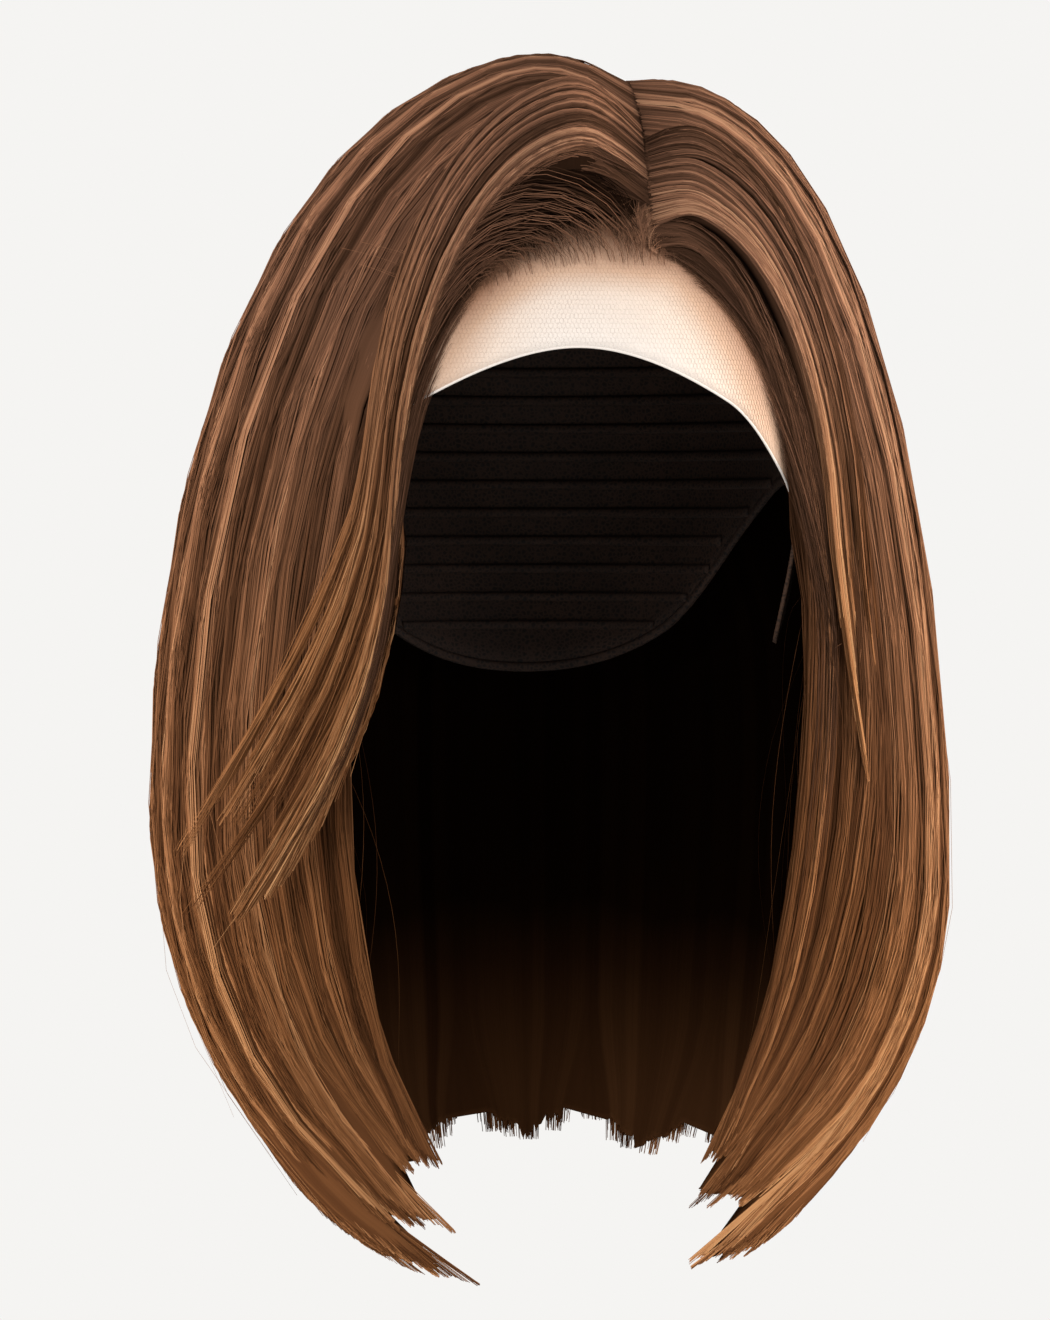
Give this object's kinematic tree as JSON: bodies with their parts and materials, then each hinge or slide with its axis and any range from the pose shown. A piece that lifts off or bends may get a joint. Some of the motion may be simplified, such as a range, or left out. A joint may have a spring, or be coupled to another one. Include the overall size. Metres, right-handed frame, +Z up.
{
  "type": "lace front wig",
  "caption": "Shoulder-length brown lace front wig with a side parting, a swept front and ends that turn under.",
  "frame": {"origin": "top of the wearer's head, on the inside of the cap", "axes": "+Z up, -Y out of the face, +X towards the wearer's left"},
  "size_m": [0.2483, 0.2099, 0.3669],
  "materials": {
    "hair": "satin",
    "cap_net": "matte",
    "lace": "matte"
  },
  "bodies": {
    "root": {"wig_cap": "cap_net", "lace_front": "lace", "ear_tab_right": "cap_net", "ear_tab_left": "cap_net", "parting_lace": "lace", "hair_right": "hair", "hair_back": "hair", "hair_left": "hair"}
  },
  "joints": []
}
